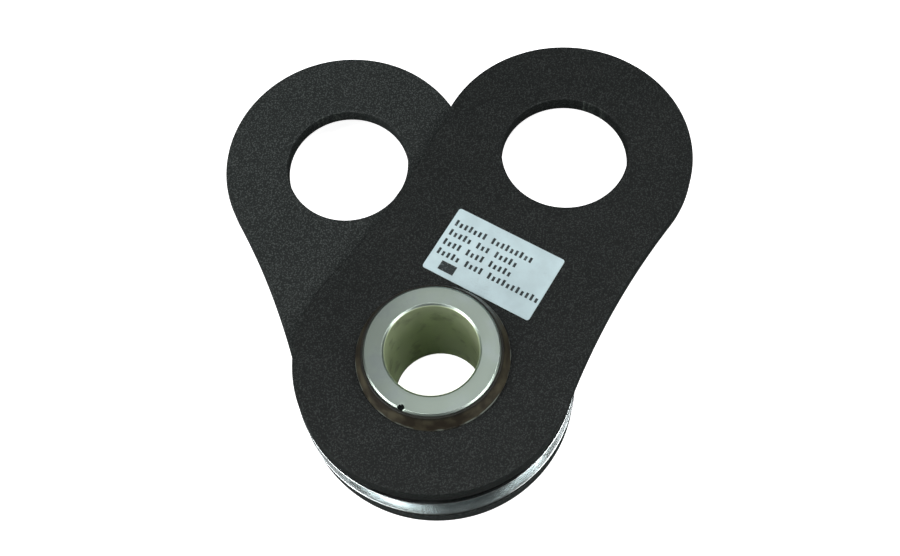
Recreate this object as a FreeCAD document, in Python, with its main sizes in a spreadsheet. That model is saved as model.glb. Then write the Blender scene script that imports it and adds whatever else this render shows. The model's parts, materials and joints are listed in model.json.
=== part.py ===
import FreeCAD, Part
import math
import os
import Sketcher

# Single sheave block: two swinging side plates on a hollow axle.
#
# The origin is the middle of the axle's bore.  +Z runs along the axle and
# +Y points midway between the two shackle eyes, which are swung apart.
# Lengths are in millimetres and angles in degrees.

V = FreeCAD.Vector
UP = V(0, 0, 1)
FULL_TURN = 360.0

# Sketcher's codes for a curve's points and for the sketch's own axes
START = 1
END = 2
CENTRE = 3
ORIGIN = (-1, START)
ACROSS_AXIS = -1
ALONG_AXIS = -2

# two lengths nearer than this are the same length
CLOSE = 0.001
# the rope groove takes at least this share of the plain wheel
LEAST_GROOVE_SHARE = 0.05

# name, value, what it is
DIMENSIONS = [
    ("plate_thickness", 10.0, "side plate, steel thickness"),
    ("plate_tail_radius", 75.0, "round end over the sheave"),
    ("plate_head_radius", 72.0, "round end around the eye"),
    ("plate_centres", 145.0, "axle centre to eye centre"),
    ("plate_waist_radius", 450.0, "hollow arc that joins the round ends"),
    ("plate_edge_radius", 0.6, "broken edge of the plates"),
    ("eye_radius", 35.5, "shackle eye"),
    ("plate_bore_radius", 36.65, "plate's hole, loose on the axle"),
    ("plate_gap", 27.0, "between the plates, at the axle"),
    ("plate_lean", 2.2, "each plate's nod towards the other, from its play"),
    ("plate_swing", 26.0, "each plate's turn away from the middle"),
    ("axle_bore_radius", 25.0, "open hole through the axle"),
    ("axle_radius", 36.2, "outside of the axle"),
    ("axle_length", 72.0, "end face to end face"),
    ("axle_bore_chamfer", 1.2, "bevel at each mouth of the bore"),
    ("axle_rim_chamfer", 0.9, "bevel around each end face"),
    ("collar_foot_radius", 41.0, "retaining collar, at the plate"),
    ("collar_top_radius", 37.4, "retaining collar, at its outer end"),
    ("collar_land", 1.2, "upright edge at the collar's foot"),
    ("collar_start", 25.2, "collar's inner face, from the middle"),
    ("collar_end", 34.4, "collar's outer face, from the middle"),
    ("washer_radius", 46.0, "thrust washer, outside"),
    ("washer_bore_radius", 36.5, "thrust washer, hole"),
    ("washer_start", 10.2, "washer's inner face, from the middle"),
    ("washer_end", 11.6, "washer's outer face, from the middle"),
    ("sheave_radius", 75.5, "over the lips"),
    ("sheave_width", 20.0, "face to face"),
    ("groove_radius", 8.6, "rope groove, for a 16 mm rope"),
    ("groove_floor_radius", 59.5, "bottom of the groove, from the axis"),
    ("groove_flare", 5.0, "lean of the groove's sides"),
    ("groove_overrun", 2.0, "how far the groove's cutter reaches past the rim"),
    ("lip_radius", 0.35, "rounding of the lips"),
    ("bush_radius", 41.0, "outside of the sheave's bush"),
    ("bush_bore_radius", 36.26, "bush's running bore"),
    ("bush_length", 19.6, "end to end"),
    ("grease_groove_depth", 0.8, "ring groove inside the bush"),
    ("grease_groove_width", 4.0, "ring groove inside the bush"),
    ("label_width", 66.3, "rating label, across the plate"),
    ("label_height", 41.4, "rating label, along the plate"),
    ("label_corner_radius", 1.5, "rating label, corners"),
    ("label_thickness", 0.3, "rating label"),
    ("label_centre", 63.9, "rating label, from the axle"),
]

SIZE = {name: value for name, value, _ in DIMENSIONS}
SHEET = "Dimensions"


def dimension(name):
    """Expression that reads one cell of the sheet."""
    return f"{SHEET}.{name}"


def make_sheet(doc):
    """Put every driving dimension in a cell with an alias."""
    sheet = doc.addObject("Spreadsheet::Sheet", SHEET)
    for row, (name, value, meaning) in enumerate(DIMENSIONS, start=1):
        sheet.set(f"A{row}", name)
        sheet.set(f"B{row}", str(value))
        sheet.setAlias(f"B{row}", name)
        sheet.set(f"C{row}", meaning)
    doc.recompute()
    return sheet


def make_body(doc, label):
    body = doc.addObject("PartDesign::Body", label)
    body.Label = label
    return body


def make_sketch(body, role, name):
    """Sketch on one of the body's own origin planes."""
    planes = [p for p in body.Origin.OriginFeatures if p.Role == role]
    sketch = body.newObject("Sketcher::SketchObject", name)
    sketch.AttachmentSupport = [(planes[0], "")]
    sketch.MapMode = "FlatFace"
    return sketch


def bind(sketch, constraint, name, expression):
    """Name a constraint and drive it from the sheet."""
    index = sketch.addConstraint(constraint)
    sketch.renameConstraint(index, name)
    sketch.setExpression(f"Constraints.{name}", expression)


def arc(sketch, centre, radius, start, end):
    circle = Part.Circle(centre, UP, radius)
    return sketch.addGeometry(Part.ArcOfCircle(circle, start, end), False)


def centred_circle(sketch, radius, name):
    """Circle about the sketch's origin, with its radius from the sheet."""
    geo = sketch.addGeometry(Part.Circle(V(0, 0, 0), UP, radius), False)
    sketch.addConstraint(Sketcher.Constraint("Coincident", geo, CENTRE, *ORIGIN))
    bind(sketch, Sketcher.Constraint("Radius", geo, radius), name, dimension(name))
    return geo


def draw_plate_outline(sketch):
    """Tail arc, head arc, two hollow waist arcs, the axle hole and the eye."""
    tail = SIZE["plate_tail_radius"]
    head = SIZE["plate_head_radius"]
    waist = SIZE["plate_waist_radius"]
    centres = SIZE["plate_centres"]

    # the waist's centre lies at known distances from both round ends' centres
    to_tail = waist + tail
    to_head = waist + head
    along = (to_tail ** 2 - to_head ** 2 + centres ** 2) / (2 * centres)
    across = math.sqrt(to_tail ** 2 - along ** 2)
    tail_angle = math.atan2(along, across)
    head_angle = math.atan2(along - centres, across)

    axle_centre = V(0, 0, 0)
    eye_centre = V(0, centres, 0)
    tail_arc = arc(sketch, axle_centre, tail, math.pi - tail_angle, 2 * math.pi + tail_angle)
    head_arc = arc(sketch, eye_centre, head, head_angle, math.pi - head_angle)
    right_arc = arc(sketch, V(across, along, 0), waist, math.pi + head_angle, math.pi + tail_angle)
    left_arc = arc(sketch, V(-across, along, 0), waist, -tail_angle, -head_angle)

    for first, end_1, second, end_2 in (
        (tail_arc, END, right_arc, END),
        (right_arc, START, head_arc, START),
        (head_arc, END, left_arc, END),
        (left_arc, START, tail_arc, START),
    ):
        sketch.addConstraint(Sketcher.Constraint("Tangent", first, end_1, second, end_2))

    sketch.addConstraint(Sketcher.Constraint("Coincident", tail_arc, CENTRE, *ORIGIN))
    sketch.addConstraint(Sketcher.Constraint("PointOnObject", head_arc, CENTRE, ALONG_AXIS))
    for geo, name in (
        (tail_arc, "plate_tail_radius"),
        (head_arc, "plate_head_radius"),
        (right_arc, "plate_waist_radius"),
    ):
        bind(sketch, Sketcher.Constraint("Radius", geo, SIZE[name]), name, dimension(name))
    sketch.addConstraint(Sketcher.Constraint("Equal", right_arc, left_arc))
    rise = Sketcher.Constraint("DistanceY", *ORIGIN, head_arc, CENTRE, centres)
    bind(sketch, rise, "plate_centres", dimension("plate_centres"))

    centred_circle(sketch, SIZE["plate_bore_radius"], "plate_bore_radius")
    eye = sketch.addGeometry(Part.Circle(eye_centre, UP, SIZE["eye_radius"]), False)
    sketch.addConstraint(Sketcher.Constraint("Coincident", eye, CENTRE, head_arc, CENTRE))
    radius = Sketcher.Constraint("Radius", eye, SIZE["eye_radius"])
    bind(sketch, radius, "eye_radius", dimension("eye_radius"))


def make_side_plate(doc, label, side):
    """Flat plate with an axle hole and an eye.  side is +1 above, -1 below."""
    body = make_body(doc, label)
    sketch = make_sketch(body, "XY_Plane", label + "_outline")
    draw_plate_outline(sketch)

    pad = body.newObject("PartDesign::Pad", label + "_pad")
    pad.Profile = sketch
    pad.Midplane = True
    pad.setExpression("Length", dimension("plate_thickness"))
    doc.recompute()

    rims = [
        f"Edge{index}"
        for index, edge in enumerate(pad.Shape.Edges, start=1)
        if edge.BoundBox.ZLength < CLOSE
    ]
    rounding = body.newObject("PartDesign::Fillet", label + "_edges")
    rounding.Base = (pad, rims)
    rounding.setExpression("Radius", dimension("plate_edge_radius"))
    body.setExpression("Placement", plate_placement(side))
    return body


def plate_placement(side):
    """Centre of the plate's thickness on the axle, swung and leaning."""
    gap = dimension("plate_gap")
    thickness = dimension("plate_thickness")
    swing = dimension("plate_swing")
    lean = dimension("plate_lean")
    height = f"{side} * ({gap} + {thickness}) / 2"
    turn = f"rotation({-side} * {swing}; 0; {-side} * {lean})"
    return f"placement(vector(0; 0; {height}); {turn})"


def draw_section(sketch, points, drives):
    """Closed polygon in a half section: x is the radius, y the height.

    drives holds (point, "DistanceX" or "DistanceY", name, expression), each
    measured from the origin.  A point on the lower side is mirrored by sign.
    """
    count = len(points)
    for index in range(count):
        start = V(*points[index], 0)
        end = V(*points[(index + 1) % count], 0)
        sketch.addGeometry(Part.LineSegment(start, end), False)
    for index in range(count):
        after = (index + 1) % count
        sketch.addConstraint(Sketcher.Constraint("Coincident", index, END, after, START))
    for point, kind, name, expression in drives:
        value = points[point][0 if kind == "DistanceX" else 1]
        if value >= 0:
            constraint = Sketcher.Constraint(kind, *ORIGIN, point, START, value)
        else:
            constraint = Sketcher.Constraint(kind, point, START, *ORIGIN, -value)
        bind(sketch, constraint, name, expression)


def revolve(body, sketch, name):
    """Turn a half section about the body's Z axis."""
    feature = body.newObject("PartDesign::Revolution", name)
    feature.Profile = sketch
    feature.ReferenceAxis = (sketch, ["V_Axis"])
    feature.Angle = FULL_TURN


def section_drives(points, radii, heights):
    """Drive each point of a section by one radius and one height expression."""
    drives = []
    for index in range(len(points)):
        drives.append((index, "DistanceX", f"radius_{index}", radii[index]))
        drives.append((index, "DistanceY", f"height_{index}", heights[index]))
    return drives


def make_turned_part(doc, label, corners):
    """Solid of revolution from corners of (radius, height) expressions.

    Each corner is ((radius value, expression), (height value, expression)).
    """
    body = make_body(doc, label)
    sketch = make_sketch(body, "XZ_Plane", label + "_section")
    points = [(radius[0], height[0]) for radius, height in corners]
    radii = [radius[1] for radius, _ in corners]
    heights = [height[1] for _, height in corners]
    draw_section(sketch, points, section_drives(points, radii, heights))
    revolve(body, sketch, label + "_turned")
    return body


def measure(formula):
    """Value of a formula over the sheet's names, and its expression.

    A formula is a list of (factor, name) terms, added together.
    """
    value = sum(factor * SIZE[name] for factor, name in formula)
    expression = " + ".join(f"{factor} * {dimension(name)}" for factor, name in formula)
    return value, expression


def height_measure(formula):
    """As measure, but the expression gives the distance from the origin."""
    value, expression = measure(formula)
    if value < 0:
        expression = f"-({expression})"
    return value, expression


def corner(radius, height):
    return measure(radius), height_measure(height)


def make_axle(doc):
    """Thick tube whose end faces stand proud of the collars."""
    bore = [(1, "axle_bore_radius")]
    bore_bevel = [(1, "axle_bore_radius"), (1, "axle_bore_chamfer")]
    rim = [(1, "axle_radius")]
    rim_bevel = [(1, "axle_radius"), (-1, "axle_rim_chamfer")]

    def height(side, chamfer=None):
        terms = [(side * 0.5, "axle_length")]
        if chamfer:
            terms.append((-side, chamfer))
        return terms

    corners = [
        corner(bore, height(-1, "axle_bore_chamfer")),
        corner(bore_bevel, height(-1)),
        corner(rim_bevel, height(-1)),
        corner(rim, height(-1, "axle_rim_chamfer")),
        corner(rim, height(1, "axle_rim_chamfer")),
        corner(rim_bevel, height(1)),
        corner(bore_bevel, height(1)),
        corner(bore, height(1, "axle_bore_chamfer")),
    ]
    return make_turned_part(doc, "hollow_axle", corners)


def make_collar(doc, label, side):
    """Coned ring on one end of the axle, which keeps its plate on."""
    bore = [(1, "axle_radius")]
    foot = [(1, "collar_foot_radius")]
    top = [(1, "collar_top_radius")]
    start = [(side, "collar_start")]
    land = [(side, "collar_start"), (side, "collar_land")]
    end = [(side, "collar_end")]
    corners = [
        corner(bore, start),
        corner(foot, start),
        corner(foot, land),
        corner(top, end),
        corner(bore, end),
    ]
    return make_turned_part(doc, label, corners)


def make_washer(doc, label, side):
    """Thrust washer between the sheave and a plate."""
    inner = [(1, "washer_bore_radius")]
    outer = [(1, "washer_radius")]
    start = [(side, "washer_start")]
    end = [(side, "washer_end")]
    corners = [
        corner(inner, start),
        corner(outer, start),
        corner(outer, end),
        corner(inner, end),
    ]
    return make_turned_part(doc, label, corners)


def make_bush(doc):
    """Bush pressed into the sheave, with a grease groove in its bore."""
    bore = [(1, "bush_bore_radius")]
    groove = [(1, "bush_bore_radius"), (1, "grease_groove_depth")]
    outer = [(1, "bush_radius")]
    half = "bush_length"
    width = "grease_groove_width"
    corners = [
        corner(bore, [(-0.5, half)]),
        corner(outer, [(-0.5, half)]),
        corner(outer, [(0.5, half)]),
        corner(bore, [(0.5, half)]),
        corner(bore, [(0.5, width)]),
        corner(groove, [(0.5, width)]),
        corner(groove, [(-0.5, width)]),
        corner(bore, [(-0.5, width)]),
    ]
    return make_turned_part(doc, "sheave_bush", corners)


def make_sheave(doc):
    """Plain wheel first, then the rope groove is turned into its edge."""
    body = make_body(doc, "sheave")
    sketch = make_sketch(body, "XY_Plane", "sheave_disc")
    centred_circle(sketch, SIZE["sheave_radius"], "sheave_radius")
    centred_circle(sketch, SIZE["bush_radius"], "bush_radius")
    disc = body.newObject("PartDesign::Pad", "sheave_pad")
    disc.Profile = sketch
    disc.Midplane = True
    disc.setExpression("Length", dimension("sheave_width"))
    doc.recompute()
    plain_volume = disc.Shape.Volume

    draw_groove(doc, body)
    if body.Shape.Volume > (1 - LEAST_GROOVE_SHARE) * plain_volume:
        raise RuntimeError("the rope groove cut nothing")
    round_lips(doc, body)
    return body


def draw_groove(doc, body):
    """Round-bottomed groove with flared sides, cut a little past the rim."""
    radius = SIZE["groove_radius"]
    flare = math.radians(SIZE["groove_flare"])
    middle = SIZE["groove_floor_radius"] + radius
    mouth = SIZE["sheave_radius"] + SIZE["groove_overrun"]
    foot = V(middle - radius * math.sin(flare), radius * math.cos(flare), 0)
    lip = V(mouth, foot.y + (mouth - foot.x) * math.tan(flare), 0)

    sketch = make_sketch(body, "XZ_Plane", "groove_section")
    centre = V(middle, 0, 0)
    floor = arc(sketch, centre, radius, math.pi / 2 + flare, 3 * math.pi / 2 - flare)
    upper = sketch.addGeometry(Part.LineSegment(foot, lip), False)
    edge = sketch.addGeometry(Part.LineSegment(lip, V(lip.x, -lip.y, 0)), False)
    lower = sketch.addGeometry(Part.LineSegment(V(lip.x, -lip.y, 0), V(foot.x, -foot.y, 0)), False)
    sketch.addConstraint(Sketcher.Constraint("Tangent", floor, START, upper, START))
    sketch.addConstraint(Sketcher.Constraint("Tangent", lower, END, floor, END))
    sketch.addConstraint(Sketcher.Constraint("Coincident", upper, END, edge, START))
    sketch.addConstraint(Sketcher.Constraint("Coincident", edge, END, lower, START))
    sketch.addConstraint(Sketcher.Constraint("PointOnObject", floor, CENTRE, ACROSS_AXIS))
    rounding = Sketcher.Constraint("Radius", floor, radius)
    bind(sketch, rounding, "groove_radius", dimension("groove_radius"))
    reach = Sketcher.Constraint("DistanceX", *ORIGIN, floor, CENTRE, middle)
    floor_reach = f"{dimension('groove_floor_radius')} + {dimension('groove_radius')}"
    bind(sketch, reach, "groove_centre", floor_reach)
    past = Sketcher.Constraint("DistanceX", *ORIGIN, edge, START, mouth)
    bind(sketch, past, "mouth", f"{dimension('sheave_radius')} + {dimension('groove_overrun')}")
    tilt = Sketcher.Constraint("Angle", upper, flare)
    bind(sketch, tilt, "groove_flare", f"{dimension('groove_flare')} * 1 deg")
    sketch.addConstraint(Sketcher.Constraint("Symmetric", upper, END, edge, END, ACROSS_AXIS))

    groove = body.newObject("PartDesign::Groove", "rope_groove")
    groove.Profile = sketch
    groove.ReferenceAxis = (sketch, ["V_Axis"])
    groove.Angle = FULL_TURN
    doc.recompute()


def round_lips(doc, body):
    """Round the sharp edges of both lips."""
    base = body.Tip
    outer = SIZE["sheave_radius"]
    lips = [
        f"Edge{index}"
        for index, edge in enumerate(base.Shape.Edges, start=1)
        if isinstance(edge.Curve, Part.Circle) and abs(edge.Curve.Radius - outer) < CLOSE
    ]
    rounding = body.newObject("PartDesign::Fillet", "lip_edges")
    rounding.Base = (base, lips)
    rounding.setExpression("Radius", dimension("lip_radius"))
    doc.recompute()


def make_label(doc):
    """Thin rounded rectangle that lies on the upper plate."""
    body = make_body(doc, "rating_label")
    sketch = make_sketch(body, "XY_Plane", "label_outline")
    width = SIZE["label_width"]
    height = SIZE["label_height"]
    corners = [
        V(-width / 2, -height / 2, 0),
        V(width / 2, -height / 2, 0),
        V(width / 2, height / 2, 0),
        V(-width / 2, height / 2, 0),
    ]
    sides = []
    for start, end in zip(corners, corners[1:] + corners[:1]):
        sides.append(sketch.addGeometry(Part.LineSegment(start, end), False))
    near, right, far, left = sides
    for side, after in zip(sides, sides[1:] + sides[:1]):
        sketch.addConstraint(Sketcher.Constraint("Coincident", side, END, after, START))
    for side, kind in ((near, "Horizontal"), (far, "Horizontal"), (right, "Vertical"), (left, "Vertical")):
        sketch.addConstraint(Sketcher.Constraint(kind, side))
    sketch.addConstraint(Sketcher.Constraint("Symmetric", near, START, right, END, *ORIGIN))
    across = Sketcher.Constraint("DistanceX", near, START, near, END, width)
    bind(sketch, across, "label_width", dimension("label_width"))
    along = Sketcher.Constraint("DistanceY", right, START, right, END, height)
    bind(sketch, along, "label_height", dimension("label_height"))

    pad = body.newObject("PartDesign::Pad", "label_pad")
    pad.Profile = sketch
    pad.setExpression("Length", dimension("label_thickness"))
    doc.recompute()
    uprights = [
        f"Edge{index}"
        for index, edge in enumerate(pad.Shape.Edges, start=1)
        if edge.BoundBox.ZLength > CLOSE
    ]
    rounding = body.newObject("PartDesign::Fillet", "label_corners")
    rounding.Base = (pad, uprights)
    rounding.setExpression("Radius", dimension("label_corner_radius"))
    spot = f"vector(0; {dimension('label_centre')}; {dimension('plate_thickness')} / 2)"
    on_plate = f"placement({spot}; rotation(0; 0; 0))"
    body.setExpression("Placement", f"{plate_placement(1)} * {on_plate}")
    return body


def check_document(doc):
    """Stop if any feature failed to compute."""
    for item in doc.Objects:
        for flag in ("Invalid", "Error"):
            if flag in item.State:
                raise RuntimeError(f"{item.Label}: {item.State}")


def check_shape(body):
    """Stop if a sub-part is not one valid solid."""
    shape = body.Shape
    if shape.isNull() or not shape.isValid():
        raise RuntimeError(f"{body.Label}: null or invalid shape")
    if len(shape.Solids) != 1:
        raise RuntimeError(f"{body.Label}: {len(shape.Solids)} solids")


def main():
    doc = FreeCAD.newDocument("sheave_block")
    make_sheet(doc)
    subparts = [
        make_axle(doc),
        make_collar(doc, "upper_retaining_collar", 1),
        make_collar(doc, "lower_retaining_collar", -1),
        make_washer(doc, "upper_thrust_washer", 1),
        make_washer(doc, "lower_thrust_washer", -1),
        make_sheave(doc),
        make_bush(doc),
        make_side_plate(doc, "upper_side_plate", 1),
        make_side_plate(doc, "lower_side_plate", -1),
        make_label(doc),
    ]
    doc.recompute()
    check_document(doc)
    for body in subparts:
        check_shape(body)

    os.makedirs("parts", exist_ok=True)
    for body in subparts:
        body.Shape.exportStep(f"parts/{body.Label}.step")
        box = body.Shape.optimalBoundingBox()
        print(
            f"{body.Label}: {body.Shape.Volume / 1000:.1f} cm3,"
            f" x {box.XMin:.2f} {box.XMax:.2f}, y {box.YMin:.2f} {box.YMax:.2f},"
            f" z {box.ZMin:.2f} {box.ZMax:.2f}"
        )


main()
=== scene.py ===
import json
import math

import bmesh
import bpy
from bpy.props import FloatProperty, FloatVectorProperty, PointerProperty
from mathutils import Matrix, Vector

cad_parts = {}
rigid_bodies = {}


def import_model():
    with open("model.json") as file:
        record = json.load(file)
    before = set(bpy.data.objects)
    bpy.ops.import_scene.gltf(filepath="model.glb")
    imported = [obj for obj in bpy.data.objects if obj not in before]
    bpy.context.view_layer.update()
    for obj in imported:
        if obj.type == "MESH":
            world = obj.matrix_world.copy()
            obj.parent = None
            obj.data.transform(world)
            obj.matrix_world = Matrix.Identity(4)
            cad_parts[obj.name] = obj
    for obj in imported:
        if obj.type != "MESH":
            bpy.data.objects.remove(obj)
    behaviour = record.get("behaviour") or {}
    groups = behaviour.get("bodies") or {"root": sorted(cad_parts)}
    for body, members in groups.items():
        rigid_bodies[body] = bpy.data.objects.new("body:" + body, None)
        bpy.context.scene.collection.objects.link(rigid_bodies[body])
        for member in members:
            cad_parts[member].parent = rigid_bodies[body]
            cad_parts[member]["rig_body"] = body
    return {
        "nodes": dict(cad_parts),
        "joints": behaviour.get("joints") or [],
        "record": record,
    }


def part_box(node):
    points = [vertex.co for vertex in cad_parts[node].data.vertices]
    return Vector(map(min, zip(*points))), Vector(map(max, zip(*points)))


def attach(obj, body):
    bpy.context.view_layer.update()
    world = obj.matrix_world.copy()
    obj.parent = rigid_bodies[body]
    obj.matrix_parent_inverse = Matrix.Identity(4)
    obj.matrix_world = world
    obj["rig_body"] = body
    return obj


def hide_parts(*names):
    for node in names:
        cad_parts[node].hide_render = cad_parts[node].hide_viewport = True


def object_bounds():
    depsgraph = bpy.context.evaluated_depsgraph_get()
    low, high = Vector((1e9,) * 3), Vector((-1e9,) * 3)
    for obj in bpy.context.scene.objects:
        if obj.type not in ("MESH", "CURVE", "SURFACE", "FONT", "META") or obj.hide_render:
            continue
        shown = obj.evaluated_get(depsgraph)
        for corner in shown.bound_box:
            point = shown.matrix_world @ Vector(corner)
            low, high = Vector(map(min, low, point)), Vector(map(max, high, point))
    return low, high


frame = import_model()
cad_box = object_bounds()

bl_info = {
    "name": "Single sheave block",
    "version": (1, 0, 0),
    "blender": (4, 5, 0),
    "location": "View3D > Sidebar > Sheave Block",
    "description": "Visible pieces, finishes and stage of a swing-plate sheave block",
    "category": "Object",
}

MM = 0.001
UP = Vector((0, 0, 1))
ORIGIN = Vector((0, 0, 0))
FULL_TURN = 2 * math.pi
# vertices nearer than this are one vertex
WELD = 1e-7
# ends of an outline nearer than this are the same corner
SAME_CORNER = 1e-5
# edges longer than this are split around the dent
SPLIT_LENGTH = 0.3 * MM
# edges that turn by more than this are corners to be rounded
CORNER_ANGLE = math.radians(15)
# edges of the sheave that turn by more than this are its lips
LIP_ANGLE = math.radians(40)
# segments of each kind of arc
TURNED_STEPS = 360
ROUND_END_STEPS = 160
WAIST_STEPS = 40
HOLE_STEPS = 192
GROOVE_STEPS = 24
# values kept on vertices, that materials read
EDGE_LAYER = "edge"
DENT_LAYER = "dent"
# the floor and the room are bright to the camera, and dim in reflections as a dark bench is
FLOOR_GLOW = 0.9
ROOM_GLOW = 0.08
# painted light: the lower plate's coat is painted paler, as a multiple of the upper plate's
LOWER_PAINTED_LIGHT = 1.9
GRAIN_SIZE = 0.85 * MM
GRAIN_DEPTH = 0.26 * MM
COAT_SPECULAR = 0.2
FILM_SPECULAR = 0.3
# shares of a finish that its wear, dust, smears or painted shade cover at the most
EDGE_WEAR = 0.55
COAT_DUST = 0.10
FILM_DUST = 0.12
EYE_SMEAR = 0.5
BORE_SMUDGE = 0.25
PAINTED_SIDE_SHADE = 0.42


# ---------------------------------------------------------------- the frame


def mount(name):
    """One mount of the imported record."""
    return next(m for m in frame["record"]["mounts"] if m["name"] == name)


def joint(name):
    """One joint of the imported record."""
    return next(j for j in frame["joints"] if j["name"] == name)


def body_of_node(node):
    """Name of the body that a CAD node rides."""
    return frame["nodes"][node]["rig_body"]


def plate_matrix(side):
    """Place of a plate: its middle on the axle, swung and leaning.  side is +1 above, -1 below."""
    name = "upper" if side > 0 else "lower"
    middle = Vector(joint(f"{name}_plate_swing")["pos_m"])
    along = (Vector(mount(f"{name}_eye")["pos_m"]) - middle).normalized()
    outward = Vector(mount(f"{name}_eye")["axis"]).normalized()
    normal = outward * side
    across = along.cross(normal)
    axes = Matrix((across, along, normal)).transposed()
    return Matrix.Translation(middle) @ axes.to_4x4()


# far corners of two boxes: the radius is x and half the length is z
AXLE_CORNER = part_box("hollow_axle")[1]
SHEAVE_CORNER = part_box("sheave")[1]
# near and far corners
COLLAR_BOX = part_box("upper_retaining_collar")
WASHER_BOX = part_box("upper_thrust_washer")
UPPER_EYE = Vector(mount("upper_eye")["pos_m"])
UPPER_MIDDLE = Vector(joint("upper_plate_swing")["pos_m"])


# ------------------------------------------------------------ user settings


def size(name, description, default):
    """A length in metres."""
    return FloatProperty(
        name=name, description=description, default=default, unit="LENGTH", precision=5
    )


def turn(name, description, degrees):
    """An angle, stated in degrees."""
    return FloatProperty(
        name=name, description=description, default=math.radians(degrees), unit="ROTATION"
    )


def colour(name, description, default):
    """A linear colour."""
    return FloatVectorProperty(
        name=name, description=description, default=default, subtype="COLOR", size=3, min=0, max=1
    )


class PlateSizes(bpy.types.PropertyGroup):
    """Outline and edges of both side plates."""

    tail_radius: size("Tail radius", "Round end over the sheave", 75 * MM)
    head_radius: size("Head radius", "Round end around the eye", 72 * MM)
    waist_radius: size("Waist radius", "Hollow arc between the round ends", 450 * MM)
    centres: size("Centres", "Axle to eye", (UPPER_EYE - UPPER_MIDDLE).length)
    thickness: size("Thickness", "Plate thickness", 10 * MM)
    eye_radius: size("Eye radius", "Shackle eye", mount("upper_eye")["dims"]["r_mm"] * MM)
    bore_radius: size("Bore radius", "Hole for the axle", 36.65 * MM)
    edge_radius: size("Edge radius", "Rounding of every edge", 0.6 * MM)
    edge_band: size("Edge band", "Width over which edge wear fades", 1.8 * MM)


class TurnedSizes(bpy.types.PropertyGroup):
    """Axle, collars and washers."""

    bore_radius: size("Bore radius", "Open hole in the axle", mount("axle_bore")["dims"]["r_mm"] * MM)
    bore_chamfer: size("Bore chamfer", "Bevel at the bore's mouths", 1.2 * MM)
    rim_chamfer: size("Rim chamfer", "Bevel around the end faces", 0.9 * MM)
    collar_top_radius: size("Collar top radius", "Collar at its outer end", 37.4 * MM)
    collar_land: size("Collar land", "Upright edge at the collar's foot", 1.2 * MM)
    washer_bore_radius: size("Washer bore radius", "Hole of a thrust washer", 36.5 * MM)
    corner_radius: size("Corner radius", "Rounding of turned corners", 0.15 * MM)
    nick_width: size("Nick width", "Dent in the upper rim", 2.2 * MM)
    nick_depth: size("Nick depth", "Dent in the upper rim", 0.7 * MM)
    nick_place: turn("Nick place", "Angle of the dent from +X", 248)


class SheaveSizes(bpy.types.PropertyGroup):
    """Rope groove and lips."""

    bore_radius: size("Bore radius", "Hole for the bush", 41 * MM)
    groove_radius: size("Groove radius", "Round bottom of the groove", 8.6 * MM)
    floor_radius: size("Floor radius", "Bottom of the groove from the axis", 59.5 * MM)
    flare: turn("Flare", "Lean of the groove's sides", 5)
    lip_radius: size("Lip radius", "Rounding of the lips", 0.35 * MM)


class LabelSizes(bpy.types.PropertyGroup):
    """Rating label and its plain print."""

    width: size("Width", "Across the plate", 66.3 * MM)
    height: size("Height", "Along the plate", 41.4 * MM)
    corner_radius: size("Corner radius", "Rounding of the corners", 1.5 * MM)
    thickness: size("Thickness", "Film thickness", 0.3 * MM)
    centre: size("Centre", "From the axle", 63.9 * MM)
    mark_width: size("Mark width", "One printed block", 1.45 * MM)
    mark_height: size("Mark height", "One printed block", 3.9 * MM)
    mark_pitch: size("Mark pitch", "Block to block", 2.92 * MM)
    row_pitch: size("Row pitch", "Row to row", 6.5 * MM)
    ink: size("Ink", "Height of the print", 0.03 * MM)


class Colours(bpy.types.PropertyGroup):
    """Linear colours of the finishes."""

    coat: colour("Coat", "Black powder coat", (0.0072, 0.0088, 0.0085))
    # paler coat, painted on the grain's raised tops as glints and on worn edges
    coat_glint_and_wear: colour("Coat highlights", "Worn powder coat", (0.038, 0.044, 0.042))
    steel: colour("Steel", "Faced steel", (0.53, 0.625, 0.55))
    # olive, and painted paler than the faced steel as light inside the bore
    bore: colour("Bore", "Duller steel in the bore", (0.68, 0.76, 0.53))
    oxide: colour("Oxide", "Brown collar", (0.098, 0.088, 0.056))
    oxide_dark: colour("Dark oxide", "Darker patches of the collar", (0.032, 0.026, 0.018))
    zinc: colour("Zinc", "Plated sheave", (0.70, 0.74, 0.74))
    zinc_dark: colour("Dull zinc", "Duller patches of the plating", (0.42, 0.48, 0.50))
    bronze: colour("Bronze", "Bush and washers", (0.55, 0.34, 0.14))
    film: colour("Film", "Label film", (0.56, 0.70, 0.73))
    ink: colour("Ink", "Label print", (0.016, 0.022, 0.024))
    dust: colour("Dust", "Dust in the coat's grain", (0.16, 0.16, 0.15))
    floor: colour("Floor", "Plain floor", (0.92, 0.92, 0.92))
    bench: colour("Bench", "What reflections see of the floor", (0.085, 0.097, 0.090))


class StageSizes(bpy.types.PropertyGroup):
    """Camera and light."""

    azimuth: turn("Azimuth", "Camera heading from +Y towards +X", -11.28)
    elevation: turn("Elevation", "Camera above the horizon", 65.6)
    roll: turn("Roll", "Camera about its own line of sight", -7.5)
    distance: size("Distance", "Camera to target", 788.1 * MM)
    target_x: size("Target X", "Point that the camera looks at", 3.2 * MM)
    target_y: size("Target Y", "Point that the camera looks at", 57.1 * MM)
    lens: FloatProperty(name="Lens", description="Focal length in millimetres", default=56.38)
    floor_size: size("Floor size", "Side of the square floor", 6.0)


class BlockSettings(bpy.types.PropertyGroup):
    """Everything a user would change."""

    plate: PointerProperty(type=PlateSizes)
    turned: PointerProperty(type=TurnedSizes)
    sheave: PointerProperty(type=SheaveSizes)
    label: PointerProperty(type=LabelSizes)
    colours: PointerProperty(type=Colours)
    stage: PointerProperty(type=StageSizes)


# ------------------------------------------------------------------- meshes


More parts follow.
